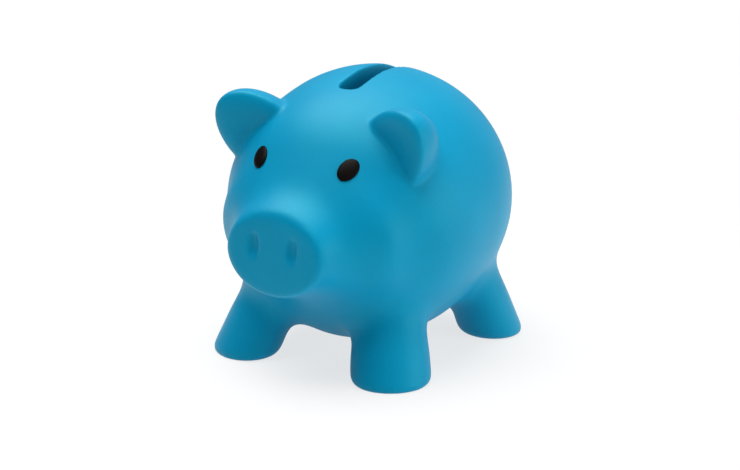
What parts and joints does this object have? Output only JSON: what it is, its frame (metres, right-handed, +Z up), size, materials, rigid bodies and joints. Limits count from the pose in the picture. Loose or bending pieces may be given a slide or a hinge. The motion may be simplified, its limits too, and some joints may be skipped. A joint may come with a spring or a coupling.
{
  "type": "piggy bank",
  "caption": "Round hollow pig-shaped money box on splayed legs, with an oval snout, ears, a coin slot in its back and a pull-out stopper in its belly.",
  "frame": {"origin": "on the floor, under the middle of the pig's length and width", "axes": "+Z up, -Y towards the snout, +X towards the pig's own left side"},
  "size_m": [0.0878, 0.104, 0.0883],
  "materials": {
    "vinyl_skin": "soft PVC, rotationally moulded, fine matt skin",
    "stopper_vinyl": "soft PVC, moulded, matt",
    "eye_paint": "black enamel, satin gloss"
  },
  "bodies": {
    "pig": {"body_shell": "vinyl_skin", "left_eye": "eye_paint", "right_eye": "eye_paint"},
    "stopper": {"belly_stopper": "stopper_vinyl"}
  },
  "joints": [
    {"name": "stopper_pull", "type": "slide", "parent": "pig", "child": "stopper", "axis": [0, 0, -1], "range_m": [0, 0.008]}
  ]
}
